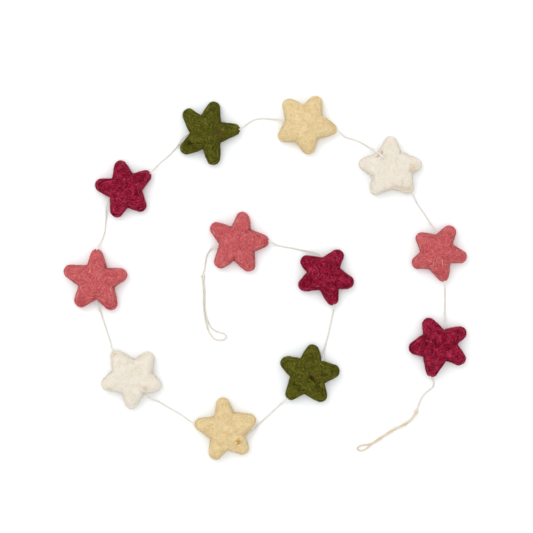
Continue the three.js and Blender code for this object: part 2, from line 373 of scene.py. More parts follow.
# Each star's cushion is its outline blown up like a soap film, pressed flat where it rests.
# The film is worked out on a grid, and the cushion's mesh in cells, in layers up from the floor.
GRID = 0.5 * MM
CELL = 0.88 * MM
LAYERS = range(-2, 24)
RIM = 5.6 * MM
SAME_HEIGHT = 0.002 * MM
TOP_SWELL = 0.8
UNDER_SWELL = 0.84
FLATTEST = 0.02 * MM
# Past this half thickness the swelling slows down, so the middle stays lower than a full dome.
FULL_ARM = 8 * MM
CROWN_GIVE = 7 * MM
FLOOR_ROUNDING = 0.5 * MM
# Creases run in from the notches; they are pressed into the shape and also darkened with painted
# shade. Per star, how deep each is, in the order of direction.
CREASE_LENGTH = 7 * MM
CREASE_WIDTH = 1.5 * MM
CREASE_DEPTH = 0.45
CREASE_START = (-3 * MM, 1 * MM)
CREASES = {
    "star_01": (0.5, 1.2, 0.7, 1.7, 0.8), "star_02": (0.8, 0.6, 0.5, 0.7, 0.5),
    "star_03": (0.7, 0.9, 0.5, 0.7, 0.6), "star_04": (0.4, 0.5, 0.6, 0.3, 0.4),
    "star_05": (0.3, 1.2, 0.3, 0.4, 0.5), "star_06": (0.6, 0.5, 0.7, 0.4, 0.6),
    "star_07": (0.7, 0.6, 0.8, 0.5, 0.6), "star_08": (0.9, 1.3, 0.7, 0.7, 0.9),
    "star_09": (0.3, 0.4, 0.4, 0.4, 0.5), "star_10": (0.3, 0.6, 0.5, 1.0, 0.4),
    "star_11": (0.8, 0.7, 0.6, 0.6, 0.8), "star_12": (1.2, 0.9, 1.3, 1.1, 1.4),
}
# Where the string comes out the felt draws in. Per star: width and height of the hole, and depth.
HOLES = {
    "star_03": (1.2 * MM, 1.2 * MM, 0.3 * MM), "star_06": (0.7 * MM, 4.5 * MM, 1.1 * MM),
    "star_07": (0.7 * MM, 3.6 * MM, 1.2 * MM), "star_08": (0.7 * MM, 3.6 * MM, 1.2 * MM),
    "star_12": (1.2 * MM, 1.2 * MM, 0),
}
PLAIN_HOLE = (1.2 * MM, 1.2 * MM, 0.5 * MM)
HOLE_REACH = 1.5 * MM
# A hole this deep gets as much painted shade as a full crease.
HOLE_SHADE = 1.3 * MM


def rim_outline(star):
    """The star's outline: the ring of corners at its widest, in order."""
    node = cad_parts[star["name"]]
    corners = np.empty(len(node.data.vertices) * 3)
    node.data.vertices.foreach_get("co", corners)
    corners = np.unique(corners.reshape(-1, 3).round(7), axis=0)
    ring = corners[np.abs(corners[:, 2] - RIM) < SAME_HEIGHT][:, :2]
    out = ring - star["centre"]
    return ring[np.argsort(np.arctan2(out[:, 1], out[:, 0]))]


def notch_corners(outline):
    """Which of the outline's corners are the notches between the arms."""
    before, after = np.roll(outline, 1, axis=0), np.roll(outline, -1, axis=0)
    bend = np.cross(outline - before, after - outline) / np.linalg.norm(after - before, axis=1)
    return np.sort(np.argsort(bend)[:5])


# How far the felt stands out past the outline's corners at the notches and at the arms' tips
NOTCH_GROWTH, TIP_GROWTH = -0.6 * MM, 0.35 * MM
NOTCH_REACH, TIP_REACH = 20 * MM, 29 * MM


def rounded(outline, centre):
    """The outline as a smooth curve with rounder tips and sharp notches."""
    out = outline - centre
    reach = np.linalg.norm(out, axis=1)
    growth = np.interp(reach, (NOTCH_REACH, TIP_REACH), (NOTCH_GROWTH, TIP_GROWTH))
    points = outline + growth[:, None] * unit(out)
    sharp = np.isin(np.arange(len(outline)), notch_corners(outline))
    for _ in range(2):
        before, here, there, after = (np.roll(points, shift, axis=0) for shift in (1, 0, -1, -2))
        before = np.where(sharp[:, None], 2 * here - there, before)
        after = np.where(np.roll(sharp, -1)[:, None], 2 * there - here, after)
        between_them = (9 * (here + there) - before - after) / 16
        points = np.stack([here, between_them], axis=1).reshape(-1, 2)
        sharp = np.stack([sharp, np.zeros_like(sharp)], axis=1).ravel()
    return points


def signed_distance(points, outline):
    """Distance to the outline, positive inside it."""
    nearest = np.full(len(points), np.inf)
    crossings = np.zeros(len(points), int)
    for start, end in zip(outline, np.roll(outline, -1, axis=0)):
        edge, to = end - start, points - start
        share = np.clip(to @ edge / (edge @ edge), 0, 1)
        nearest = np.minimum(nearest, np.hypot(*(to - share[:, None] * edge).T))
        above = (start[1] > points[:, 1]) != (end[1] > points[:, 1])
        if above.any():
            crossings += above & (points[:, 0] < start[0] + edge[0] * (points[:, 1] - start[1]) / edge[1])
    return np.where(crossings % 2 == 1, nearest, -nearest)


# The film is solved until the squares of what is left over add up to this.
FILM_ERROR = 1e-6


def soap_film(mask):
    """The height of a film blown up over the mask, in grid steps squared."""
    def stiffness(field):
        around = sum(np.roll(field, way, axis) for axis in (0, 1) for way in (1, -1))
        return (4 * field - around) * mask
    film = np.zeros(mask.shape)
    rest = mask.astype(float)
    step = rest.copy()
    size = (rest**2).sum()
    while size > FILM_ERROR:
        pushed = stiffness(step)
        share = size / (step * pushed).sum()
        film += share * step
        rest -= share * pushed
        new_size = (rest**2).sum()
        step = rest + new_size / size * step
        size = new_size
    return film


def sample(field, x, y):
    """Bilinear reading of a grid at fractional places."""
    i, j = np.floor(x).astype(int), np.floor(y).astype(int)
    i, j = np.clip(i, 0, field.shape[0] - 2), np.clip(j, 0, field.shape[1] - 2)
    u, v = x - i, y - j
    return ((field[i, j] * (1 - u) + field[i + 1, j] * u) * (1 - v)
            + (field[i, j + 1] * (1 - u) + field[i + 1, j + 1] * u) * v)


def smooth_step(value, low, high):
    share = np.clip((value - low) / (high - low), 0, 1)
    return share * share * (3 - 2 * share)


# Up to this far inside the rim the film is too coarse, so its slope is carried out across the
# rim, this many grid steps. Between these two distances from the rim the one turns into the other.
COARSE = 1.6 * GRID
CARRIED = 24
FILM_BLEND = (1.5 * MM, 4 * MM)
FILM_MARGIN = 4 * MM


def inflation(outline, points):
    """Square of the half thickness that the film gives at each point, negative outside."""
    low = outline.min(axis=0) - FILM_MARGIN
    size = np.ceil((outline.max(axis=0) + FILM_MARGIN - low) / GRID).astype(int)
    grid = low + np.indices(size).reshape(2, -1).T * GRID
    inset = signed_distance(grid, outline).reshape(size)
    film = soap_film(inset > 0) * GRID**2
    known = inset > COARSE
    slope = np.where(known, film / np.where(known, inset, 1), 0)
    weight = known.astype(float)
    for _ in range(CARRIED):
        total, count = np.zeros_like(slope), np.zeros_like(weight)
        for axis, way in ((0, 1), (0, -1), (1, 1), (1, -1)):
            total += np.roll(slope * weight, way, axis)
            count += np.roll(weight, way, axis)
        filled = (weight == 0) & (count > 0)
        slope[filled] = total[filled] / count[filled]
        weight[filled] = 1
    here = signed_distance(points, outline)
    x, y = ((points - low) / GRID).T
    inner = smooth_step(here, *FILM_BLEND)
    swell = 2 * (here * sample(slope, x, y) * (1 - inner) + sample(film, x, y) * inner)
    half = np.sqrt(np.maximum(swell, 0))
    given = FULL_ARM + CROWN_GIVE * (1 - np.exp(-np.maximum(half - FULL_ARM, 0) / CROWN_GIVE))
    return np.where(half > FULL_ARM, given**2, swell)


def creases(star, outline, points):
    """How far into a crease each point lies, from 0 to about 1."""
    depth = np.zeros(len(points))
    for notch, deep in zip(outline[notch_corners(outline)], CREASES[star["name"]]):
        inward = unit(np.array(star["centre"]) - notch)
        out = points - notch
        along, aside = out @ inward, np.abs(np.cross(inward, out))
        run = smooth_step(along, *CREASE_START) * np.exp(-np.maximum(along, 0) / CREASE_LENGTH)
        depth = np.maximum(depth, deep * run * np.exp(-(aside / CREASE_WIDTH)**2))
    return depth


def hole_depth(star, vertices):
    """How far the felt draws in around the hole in the strung tip."""
    width, height, depth = HOLES.get(star["name"], PLAIN_HOLE)
    reach, direction = star["outlet"]
    hole = np.array(polar(star["centre"], reach, direction, THREADED))
    aside = np.array([-math.sin(math.radians(direction)), math.cos(math.radians(direction)), 0])
    out = vertices - hole
    across, rise = out @ aside, out[:, 2]
    away = np.sqrt(np.maximum((out**2).sum(axis=1) - across**2 - rise**2, 0))
    return depth * np.exp(-(across / width)**2 - (rise / height)**2 - (away / (depth + HOLE_REACH))**2)


# A string that crosses the felt's edge presses a trough into it.
TROUGH_LENGTH = 9.5 * MM
TROUGH_WIDTH = 3.6 * MM
TROUGH_RISE = 0.9 * MM
TROUGH_END = 3 * MM
TROUGH_DEPTH = 5 * MM


def pressed(star, vertices):
    """The vertices, lowered to just under the string where it lies on top of the felt."""
    if star["name"] not in OVER_EDGE:
        return vertices
    depth, direction = star["inlet"]
    notch = np.array(polar(star["centre"], depth, direction, 0))[:2]
    inward = -np.array([math.cos(math.radians(direction)), math.sin(math.radians(direction))])
    out = vertices[:, :2] - notch
    along, aside = out @ inward, np.cross(inward, out)
    insets, heights = np.array(OVER_EDGE[star["name"]]).T
    under = np.interp(along, insets, heights) - STRING_RADIUS + TROUGH_RISE * (aside / TROUGH_WIDTH)**2
    under += smooth_step(along, TROUGH_LENGTH, TROUGH_LENGTH + TROUGH_END) * TROUGH_DEPTH
    low = (vertices[:, 2] > RIM) & (np.abs(aside) < 3 * TROUGH_WIDTH)
    lowered = vertices.copy()
    lowered[low, 2] = np.maximum(np.minimum(vertices[low, 2], under[low]), RIM)
    return lowered


def surface_nets(field, origin, cell):
    """A quad mesh of the field's zero level, its faces looking to the negative side."""
    cells = tuple(n - 1 for n in field.shape)
    total, count = np.zeros(cells + (3,)), np.zeros(cells)
    crossings = []
    for axis in range(3):
        others = [a for a in range(3) if a != axis]
        moved = np.moveaxis(field, axis, 0)
        a, b = moved[:-1], moved[1:]
        crosses = (a > 0) != (b > 0)
        share = np.where(crosses, a / np.where(crosses, a - b, 1), 0)
        crossings.append((crosses, a > 0))
        into, tally = np.moveaxis(total, axis, 0), np.moveaxis(count, axis, 0)
        n1, n2 = tally.shape[1:]
        for d1 in (0, 1):
            for d2 in (0, 1):
                here = crosses[:, d1:d1 + n1, d2:d2 + n2]
                tally += here
                into[..., axis] += np.where(here, share[:, d1:d1 + n1, d2:d2 + n2], 0)
                into[..., others[0]] += here * d1
                into[..., others[1]] += here * d2
    used = count > 0
    ids = np.full(cells, -1)
    ids[used] = np.arange(used.sum())
    vertices = origin + cell * (np.argwhere(used) + total[used] / count[used][:, None])
    quads = []
    for axis, (crosses, inside_first) in enumerate(crossings):
        i, j, k = np.nonzero(crosses[:, 1:-1, 1:-1])
        j, k = j + 1, k + 1
        around = np.moveaxis(ids, axis, 0)
        ring = [around[i, j - 1, k - 1], around[i, j, k - 1], around[i, j, k], around[i, j - 1, k]]
        quad = np.stack(ring, axis=1)
        turned = inside_first[i, j, k] == (axis == 1)
        quad[turned] = quad[turned][:, ::-1]
        quads.append(quad)
    return vertices, np.concatenate(quads)


def vertex_normals(vertices, quads):
    a, b, c, d = (vertices[quads[:, i]] for i in range(4))
    face = np.cross(c - a, d - b)
    normals = np.zeros_like(vertices)
    for i in range(4):
        np.add.at(normals, quads[:, i], face)
    return unit(normals)


def waves(points, size, shift):
    """Smooth noise with waves of the given size at each point, from about -1 to 1."""
    place = points / size + shift
    return np.array([noise.noise(p) for p in place.tolist()])


# Sizes and heights of the felt's lumps, which die out just above the floor
LUMPS = ((11 * MM, 0.55 * MM), (4.5 * MM, 0.3 * MM), (1.9 * MM, 0.16 * MM))
LUMPS_FREE = 2 * MM
# What the squared thickness is divided by, to be about as steep as a distance
FIELD_SCALE = 20 * MM


def star_cushion(star, seed):
    outline = rim_outline(star)
    low, high = outline.min(axis=0) - 2 * CELL, outline.max(axis=0) + 3 * CELL
    size = np.ceil((high - low) / CELL).astype(int)
    plan = low + np.indices(size).reshape(2, -1).T * CELL
    swell = inflation(rounded(outline, star["centre"]), plan)
    swell -= np.abs(swell) * CREASE_DEPTH * creases(star, outline, plan)
    swell = swell.reshape(size)[:, :, None]
    z = np.array(LAYERS) * CELL
    height = (z - RIM) / np.where(z > RIM, TOP_SWELL, UNDER_SWELL)
    cushion = (swell - height[None, None, :]**2) / FIELD_SCALE
    ground = np.broadcast_to(z[None, None, :], cushion.shape)
    # The lower of the two, with a rounded edge where they meet
    share = np.clip(0.5 + (cushion - ground) / (2 * FLOOR_ROUNDING), 0, 1)
    field = cushion * (1 - share) + ground * share - FLOOR_ROUNDING * share * (1 - share)
    vertices, quads = surface_nets(field, np.array([low[0], low[1], z[0]]), CELL)
    normals = vertex_normals(vertices, quads)
    lumps = sum(tall * waves(vertices, wide, seed * 3.1) for wide, tall in LUMPS)
    free = smooth_step(vertices[:, 2], 0, LUMPS_FREE)
    vertices = vertices + normals * ((lumps - hole_depth(star, vertices)) * free)[:, None]
    vertices[:, 2] = np.maximum(vertices[:, 2], FLATTEST)
    return outline, pressed(star, vertices), quads


# Fibres: ribbons that lie along the felt, a few thicker tufts, and fuzz that stands off it
LYING = {"count": 2300, "steps": 6, "length": (4 * MM, 10 * MM), "width": (0.08 * MM, 0.17 * MM),
         "stray": 22, "curl": 6, "lift": 0.1 * MM}
TUFTS = {"count": 560, "steps": 6, "length": (2.5 * MM, 7 * MM), "width": (0.2 * MM, 0.55 * MM),
         "stray": 14, "curl": 4, "lift": 0.05 * MM}
RIM_TUFTS = {"count": 200, "steps": 8, "length": (6 * MM, 13 * MM), "width": (0.14 * MM, 0.36 * MM),
             "stray": 6, "curl": 2, "lift": 0.06 * MM}
SPOT_TUFTS = TUFTS | {"length": (1.2 * MM, 4 * MM), "width": (0.12 * MM, 0.32 * MM),
                      "stray": 30, "curl": 7, "lift": 0.2 * MM}
FUZZ = {"count": 1000, "rim_count": 1100, "steps": 4,
        "length": (1.0 * MM, 2.8 * MM), "width": (0.05 * MM, 0.1 * MM)}
# How far in from the rim its tufts start, how far in and how high up its fuzz does, and how many
# places are tried for each one there
RIM_TUFT_INSET = 4.5 * MM
RIM_FUZZ_INSET = 2 * MM
RIM_FUZZ_HEIGHT = 2 * MM
RIM_TRIES = 8
# The rim tone is painted highlight: fibres along the rim lighter than the felt's own light ones.
TONES = ("light", "middle", "dark", "accent", "spot_and_shadow", "rim")
# No fibre starts on a face that is lower than this, and a fibre dropped on a star falls from here.
LOWEST_ROOT = 0.4 * MM
DROP_HEIGHT = 16 * MM
# Near the rim, between these distances from it, the fibres turn from round the arms to swirls.
RIM_BAND = (6.5 * MM, 2.5 * MM)
SWIRL_SIZE = 16 * MM
SWIRL_TURN = 2.2 * math.pi
SLOPE_STEP = 0.4 * MM
# How much a fibre keeps to its own way, against the way the felt was worked
OWN_WAY = 0.4


class Felt:
    """One star's surface, to put fibres on."""

    def __init__(self, star, outline, vertices, quads, seed):
        self.star, self.outline = star, outline
        self.vertices, self.quads = vertices, quads
        self.tree = BVHTree.FromPolygons(vertices.tolist(), quads.tolist())
        self.random = np.random.default_rng(seed)
        self.shift = seed * 5.3

    def roots(self, count):
        """Places spread over the top and the sides."""
        corners = self.vertices[self.quads]
        area = np.linalg.norm(np.cross(corners[:, 2] - corners[:, 0], corners[:, 3] - corners[:, 1]), axis=1)
        area[corners[:, :, 2].min(axis=1) < LOWEST_ROOT] = 0
        quads = self.random.choice(len(area), count, p=area / area.sum())
        u, v = self.random.uniform(size=(2, count, 1))
        a, b, c, d = corners[quads].transpose(1, 0, 2)
        return (a * (1 - u) + b * u) * (1 - v) + (d * (1 - u) + c * u) * v

    def on_surface(self, points):
        found = [self.tree.find_nearest(p) for p in points.tolist()]
        places = np.array([f[0] for f in found])
        return places, np.array([f[1] for f in found])

    def rim_roots(self, count, widest, lowest):
        """Places close to the rim, at most `widest` inside it and no lower than `lowest`."""
        roots = self.roots(count * RIM_TRIES)
        inset = signed_distance(roots[:, :2], self.outline)
        return roots[(inset < widest) & (roots[:, 2] > lowest)][:count]

    def directions(self, points):
        """Round the arms near the rim, and in slow swirls further in."""
        inset = signed_distance(points[:, :2], self.outline)
        slope = [signed_distance(points[:, :2] + shift, self.outline) - inset
                 for shift in ((SLOPE_STEP, 0), (0, SLOPE_STEP))]
        around = np.arctan2(slope[0], -slope[1])
        swirl = waves(points, SWIRL_SIZE, self.shift) * SWIRL_TURN
        rim = smooth_step(inset, *RIM_BAND)
        mixed = np.stack([np.cos(2 * around) * rim + np.cos(2 * swirl) * (1 - rim),
                          np.sin(2 * around) * rim + np.sin(2 * swirl) * (1 - rim)])
        angle = np.arctan2(mixed[1], mixed[0]) / 2
        return np.stack([np.cos(angle), np.sin(angle), np.zeros(len(points))], axis=1)

    def lying(self, kind, roots):
        """Fibres that creep along the surface, mostly the way the felt was worked."""
        count, steps = len(roots), kind["steps"]
        place, normal = self.on_surface(roots)
        stray = np.radians(self.random.normal(0, kind["stray"], count))
        length = self.random.uniform(*kind["length"], count)
        heading = self.random.choice([-1, 1], count)[:, None] * self.directions(place)
        path, across = [], []
        for step in range(steps):
            worked = self.directions(place)
            worked *= np.where((worked * heading).sum(axis=1) < 0, -1, 1)[:, None]
            heading = unit(worked + OWN_WAY * heading)
            way = unit(heading - normal * (heading * normal).sum(axis=1)[:, None])
            side = np.cross(normal, way)
            arch = math.sin(math.pi * step / (steps - 1))
            up = kind["lift"] * (0.4 + arch * self.random.uniform(0.3, 1, count))
            path.append(place + normal * up[:, None])
            stray += np.radians(self.random.normal(0, kind["curl"], count))
            way = way * np.cos(stray)[:, None] + side * np.sin(stray)[:, None]
            across.append(np.cross(normal, way))
            place, normal = self.on_surface(place + way * (length / (steps - 1))[:, None])
        width = self.random.uniform(*kind["width"], count)
        return ribbons(np.stack(path, axis=1), np.stack(across, axis=1), width)

    def loose(self, kind, ends):
        """Single hairs in a slight bow from one place to another."""
        share = np.linspace(0, 1, kind["steps"])[:, None]
        path = []
        for start, end in np.array(ends) * MM + self.star["centre"]:
            aside = np.array([start[1] - end[1], end[0] - start[0]])
            flat = start + (end - start) * share + aside * np.sin(share * math.pi) * kind["bow"]
            place, normal = self.on_surface(np.column_stack([flat, np.full(len(flat), DROP_HEIGHT)]))
            path.append(place + normal * kind["lift"])
        path = np.array(path)
        across = unit(np.cross(np.gradient(path, axis=1), (0, 0, 1)))
        return ribbons(path, across, np.full(len(path), kind["width"]))

    def standing(self, kind, longer):
        """Fuzz that leaves the surface and curls over."""
        steps = kind["steps"]
        everywhere = self.roots(kind["count"])
        rim = self.rim_roots(kind["rim_count"], RIM_FUZZ_INSET, RIM_FUZZ_HEIGHT)
        place, normal = self.on_surface(np.concatenate([everywhere, rim]))
        count = len(place)
        lean = unit(np.cross(normal, self.random.normal(size=(count, 3))))
        turn = unit(self.random.normal(size=(count, 3)))
        length = self.random.uniform(*kind["length"], count) * longer
        share = np.linspace(0, 1, steps)[None, :, None]
        way = (normal[:, None] * (share * (1.25 - 0.75 * share)) * 0.75
               + lean[:, None] * share**1.4 * 0.8 + turn[:, None] * np.sin(share * 2.6) * 0.16)
        path = place[:, None] - normal[:, None] * (0.1 * MM) + way * length[:, None, None]
        path[:, :, 2] = np.maximum(path[:, :, 2], OFF_FLOOR)
        across = unit(np.cross(lean, normal))[:, None]
        return ribbons(path, across, self.random.uniform(*kind["width"], count))

    def tones(self, roots, shares):
        """A tone for each fibre: lighter and darker ones gather in patches."""
        strength = PATCHES.get(self.star["felt"], PLAIN_PATCHES)
        patch = strength * waves(roots, PATCH_SIZE, self.shift + 9)
        patch += self.random.normal(0, PATCH_SPREAD, len(roots))
        ranked = np.argsort(np.argsort(patch)) / len(roots)
        tone = np.searchsorted(np.cumsum(shares), ranked)
        return np.minimum(tone, len(shares) - 1)


# Clumps of fibres of one tone on single stars: marks of other wool, and on stars 5 and 10 also
# painted shade and painted shadow, as noted there. Per clump: place from the star's centre in
# millimetres, how far it spreads, how many fibres, and its tone
SPOTS_AND_SHADE = {
    "star_03": [((4.8, -3.6), 1.7, 62, "dark"), ((7.5, -5), 1, 17, "dark"), ((11, -2), 2.4, 34, "spot_and_shadow"),
                ((-16, 8), 3, 25, "light")],
    "star_04": [((15.9, -14), 2.6, 84, "spot_and_shadow"), ((-8, 2), 5, 48, "light"), ((6, 12), 5, 31, "dark")],
    "star_05": [((-19.4, 29.4), 1.4, 17, "accent"), ((-19.4, 29.4), 0.9, 6, "spot_and_shadow"),
                ((-21.2, 27.2), 1, 10, "accent"), ((-21.2, 27.2), 0.7, 4, "spot_and_shadow"),
                ((15.5, -12.5), 3, 29, "dark"), ((15.5, -12.5), 1.8, 19, "accent"),
                # On star 5 the dark and accent clump at (-25.6, -14.4), under the lower left arm's edge, and
                # the dark one at (3, 16), in the top notch's crease, are painted shade.
                ((15.5, -12.5), 1.6, 8, "spot_and_shadow"), ((-25.6, -14.4), 3, 29, "dark"),
                ((-25.6, -14.4), 2, 7, "accent"), ((3, 16), 2.4, 13, "dark")],
    "star_08": [((-21.4, -14), 2.6, 78, "dark"), ((13.8, -3), 3.4, 70, "spot_and_shadow"), ((-4, 10), 4, 36, "light")],
    # On star 10 the accent clumps along the lower edge, at (3, -23.5), (11, -25) and (19.5, -26.8), are
    # painted shade, and the two at (-13.8, 15.4) and (-17.4, 13.7) are painted shadow beside the string where
    # it crosses the edge.
    "star_10": [((22, -2.5), 4, 84, "accent"), ((3, -23.5), 2.4, 28, "accent"),
                ((11, -25), 2.4, 34, "accent"), ((19.5, -26.8), 2, 56, "accent"),
                ((-13.8, 15.4), 1.1, 22, "spot_and_shadow"), ((-17.4, 13.7), 1.1, 22, "spot_and_shadow")],
    "star_12": [((-7, 5), 4, 36, "dark"), ((9, -9), 4, 36, "light")],
}
# Long pale hairs that lie loose on a star, from and to, in millimetres from its centre
LOOSE_HAIRS = {"star_11": [((-4.9, -10.5), (-9, -17.6)), ((3.7, -8), (4.3, -16.2))]}
LOOSE_HAIR = {"steps": 9, "width": 0.4 * MM, "bow": 0.14, "lift": 0.35 * MM}
# Share of the light, middle, dark and accent fibres of each felt
FELT_SHARES = {"rose": (0.3, 0.4, 0.28, 0.02), "berry": (0.28, 0.34, 0.36, 0.02),
               "olive": (0.26, 0.38, 0.3, 0.06), "butter": (0.34, 0.45, 0.17, 0.04),
               "cream": (0.36, 0.5, 0.1, 0.04)}
# Along the rim the light share is painted highlight, given the lighter rim tone.
RIM_SHARES = {"rose": (0.6, 0.2, 0.18, 0.02), "berry": (0.55, 0.2, 0.22, 0.03),
              "olive": (0.4, 0.15, 0.2, 0.25), "butter": (0.4, 0.3, 0.25, 0.05),
              "cream": (0.4, 0.35, 0.2, 0.05)}
# Share of the light, middle and dark hairs of the fuzz, and how much longer it is than usual
FUZZ_SHARES = (0.7, 0.25, 0.05)
FUZZ_LENGTH = {"cream": 1.4, "butter": 1.15}
# How much lighter and darker fibres gather in patches, against how much they mix
PATCHES = {"rose": 0.3, "berry": 0.45}
PLAIN_PATCHES = 0.22
PATCH_SPREAD = 0.2
PATCH_SIZE = 5 * MM


def star_fibres(star, surface):
    """All of a star's fibres in one mesh, and the tone of each face."""
    parts, tones = [], []
    shares = FELT_SHARES[star["felt"]]

    def keep(part, tone, steps):
        parts.append(part)
        tones.append(np.repeat(tone, steps - 1))

    for kind in (LYING, TUFTS):
        roots = surface.roots(kind["count"])
        keep(surface.lying(kind, roots), surface.tones(roots, shares), kind["steps"])
    roots = surface.rim_roots(RIM_TUFTS["count"], RIM_TUFT_INSET, RIM)
    tone = surface.tones(roots, RIM_SHARES[star["felt"]])
    # Painted highlight: the light fibres along the rim take the lighter rim tone.
    tone = np.where(tone == TONES.index("light"), TONES.index("rim"), tone)
    keep(surface.lying(RIM_TUFTS, roots), tone, RIM_TUFTS["steps"])
    # Clumps of one tone: marks of other wool, and on stars 5 and 10 also painted shade and shadow
    for (x, y), spread, count, tone in SPOTS_AND_SHADE.get(star["name"], []):
        middle = star["centre"] + np.array([x, y]) * MM
        spots = surface.random.normal(0, spread / 2, (count, 2)) * MM + middle
        roots = np.column_stack([spots, np.full(count, DROP_HEIGHT)])
        keep(surface.lying(SPOT_TUFTS, roots), np.full(count, TONES.index(tone)), SPOT_TUFTS["steps"])
    if star["name"] in LOOSE_HAIRS:
        ends = LOOSE_HAIRS[star["name"]]
        tone = np.full(len(ends), TONES.index("accent"))
        keep(surface.loose(LOOSE_HAIR, ends), tone, LOOSE_HAIR["steps"])
    fuzz = surface.standing(FUZZ, FUZZ_LENGTH.get(star["felt"], 1))
    tone = surface.random.choice(3, len(fuzz[1]) // (FUZZ["steps"] - 1), p=FUZZ_SHARES)
    # Painted highlight: all the fuzz near the rim takes the lighter rim tone.
    tone[FUZZ["count"]:] = TONES.index("rim")
    keep(fuzz, tone, FUZZ["steps"])
    vertices, quads, start = [], [], 0
    for points, faces in parts:
        vertices.append(points)
        quads.append(faces + start)
        start += len(points)
    return np.concatenate(vertices), np.concatenate(quads), np.concatenate(tones)


cushions, coats = {}, {}
for seed, star in enumerate(STARS, 1):
    outline, vertices, quads = star_cushion(star, seed)
    cushion = object_from(star["name"] + "_felt", vertices, quads)
    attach(cushion, "root")
    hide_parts(star["name"])
    # Painted shade: this attribute darkens the felt in its creases and round the hole where the string comes
    # out.
    hole = hole_depth(star, vertices) / HOLE_SHADE
    float_attribute(cushion, "crease", np.maximum(creases(star, outline, vertices[:, :2]), hole))
    cushions[star["name"]] = cushion
    surface = Felt(star, outline, vertices, quads, seed)
    coat = object_from(star["name"] + "_fibres", *star_fibres(star, surface), smooth=False)
    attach(coat, "root")
    coats[star["name"]] = coat

# Materials. Colours are how much red, green and blue light each tone of wool sends back, and the
# scale of a noise is in waves a metre.
# Each wool's rim tone, lighter than its light tone, is painted highlight for the stars' edges.
WOOL = {
    # The spot tone is the colour of specks of other wool, and on star 10 also of painted shadow beside the
    # string.
    "rose": {"light": (0.62, 0.17, 0.175), "middle": (0.5, 0.09, 0.096), "dark": (0.31, 0.04, 0.048),
             "accent": (0.78, 0.48, 0.44), "spot_and_shadow": (0.28, 0.05, 0.04), "rim": (0.78, 0.28, 0.28)},
    "berry": {"light": (0.49, 0.035, 0.092), "middle": (0.19, 0.0022, 0.016), "dark": (0.04, 0.001, 0.004),
              "accent": (0.48, 0.13, 0.18), "spot_and_shadow": (0.03, 0.002, 0.005), "rim": (0.58, 0.06, 0.13)},
    "olive": {"light": (0.16, 0.155, 0.021), "middle": (0.055, 0.058, 0.0058), "dark": (0.017, 0.016, 0.0025),
              "accent": (0.27, 0.24, 0.018), "spot_and_shadow": (0.1, 0.05, 0.016), "rim": (0.21, 0.2, 0.027)},
    "butter": {"light": (0.79, 0.65, 0.39), "middle": (0.685, 0.53, 0.285), "dark": (0.54, 0.385, 0.18),
               "accent": (0.6, 0.38, 0.14), "spot_and_shadow": (0.5, 0.28, 0.035), "rim": (0.86, 0.75, 0.53)},
    "cream": {"light": (0.78, 0.735, 0.655), "middle": (0.735, 0.68, 0.585), "dark": (0.655, 0.59, 0.485),
              "accent": (0.72, 0.58, 0.38), "spot_and_shadow": (0.52, 0.39, 0.24), "rim": (0.87, 0.83, 0.76)},
}


def new_material(name, color, roughness, sheen=0.06):
    material = bpy.data.materials.new(name)
    material.use_nodes = True
    shader = material.node_tree.nodes["Principled BSDF"]
    shader.inputs["Base Color"].default_value = (*color, 1)
    shader.inputs["Roughness"].default_value = roughness
    shader.inputs["Specular IOR Level"].default_value = 0.03
    shader.inputs["Sheen Weight"].default_value = sheen
    shader.inputs["Sheen Roughness"].default_value = 0.5
    shader.inputs["Sheen Tint"].default_value = (*color, 1)
    return material, material.node_tree, shader


def add(tree, kind, inputs, **settings):
    """A new node, its inputs set to values or linked to other nodes' outputs."""
    node = tree.nodes.new(kind)
    for name, value in settings.items():
        setattr(node, name, value)
    for name, value in inputs.items():
        if isinstance(value, bpy.types.NodeSocket):
            tree.links.new(value, node.inputs[name])
        else:
            node.inputs[name].default_value = value
    return node


def noise_at(tree, place, scale, detail=2.0, distortion=0.0):
    inputs = {"Vector": place, "Scale": scale, "Detail": detail, "Distortion": distortion}
    return add(tree, "ShaderNodeTexNoise", inputs)


def blend(tree, share, first, second):
    inputs = {0: share, 6: first, 7: second}
    return add(tree, "ShaderNodeMix", inputs, data_type="RGBA").outputs[2]


def maths(tree, operation, first, second=0.0):
    return add(tree, "ShaderNodeMath", {0: first, 1: second}, operation=operation).outputs[0]


def between(tree, value, low, high, to_low=0.0, to_high=1.0):
    inputs = {"Value": value, "From Min": low, "From Max": high, "To Min": to_low, "To Max": to_high}
    return add(tree, "ShaderNodeMapRange", inputs).outputs["Result"]


def strands(tree, place, scale, thickness):
    """Thin winding lines, as of single hairs: where a warped noise passes through its middle."""
    noisy = noise_at(tree, place, scale, 2.0, 1.4).outputs[0]
    off = maths(tree, "ABSOLUTE", maths(tree, "SUBTRACT", noisy, 0.5))
    return between(tree, off, 0.0, thickness, 1.0, 0.0)


